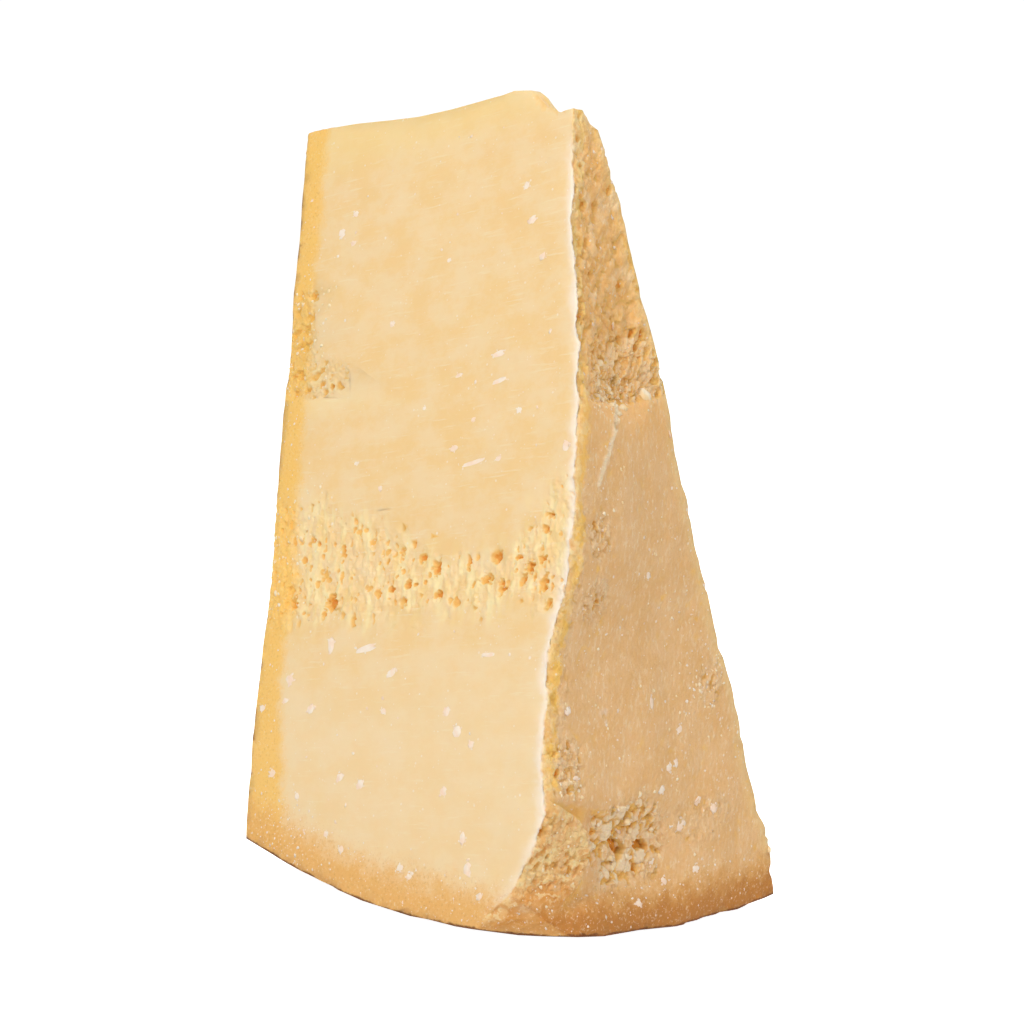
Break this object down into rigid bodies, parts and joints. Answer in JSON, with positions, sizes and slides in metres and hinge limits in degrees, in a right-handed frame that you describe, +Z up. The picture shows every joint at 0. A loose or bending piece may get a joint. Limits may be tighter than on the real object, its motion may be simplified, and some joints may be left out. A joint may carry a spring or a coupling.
{
  "type": "hard cheese wedge",
  "caption": "Tall wedge of aged hard cheese standing on its curved rind, with a smooth cut face, a torn band across it, rough broken faces and white crystals.",
  "frame": {"origin": "bottom centre of the part's bounding box, on the surface that the rind rests on", "axes": "+Z up towards the thin tip; -Y is the side of the smooth cut face; +X is the side of the broken end face, and -X the side of the wheel's flat rind face"},
  "size_m": [0.1424, 0.0896, 0.2046],
  "materials": {
    "cheese": "pale straw cheese paste, darker and more orange towards a thin natural rind, with crumbly broken faces and white crystals"
  },
  "bodies": {
    "root": {"cheese_wedge": "cheese"}
  },
  "joints": []
}
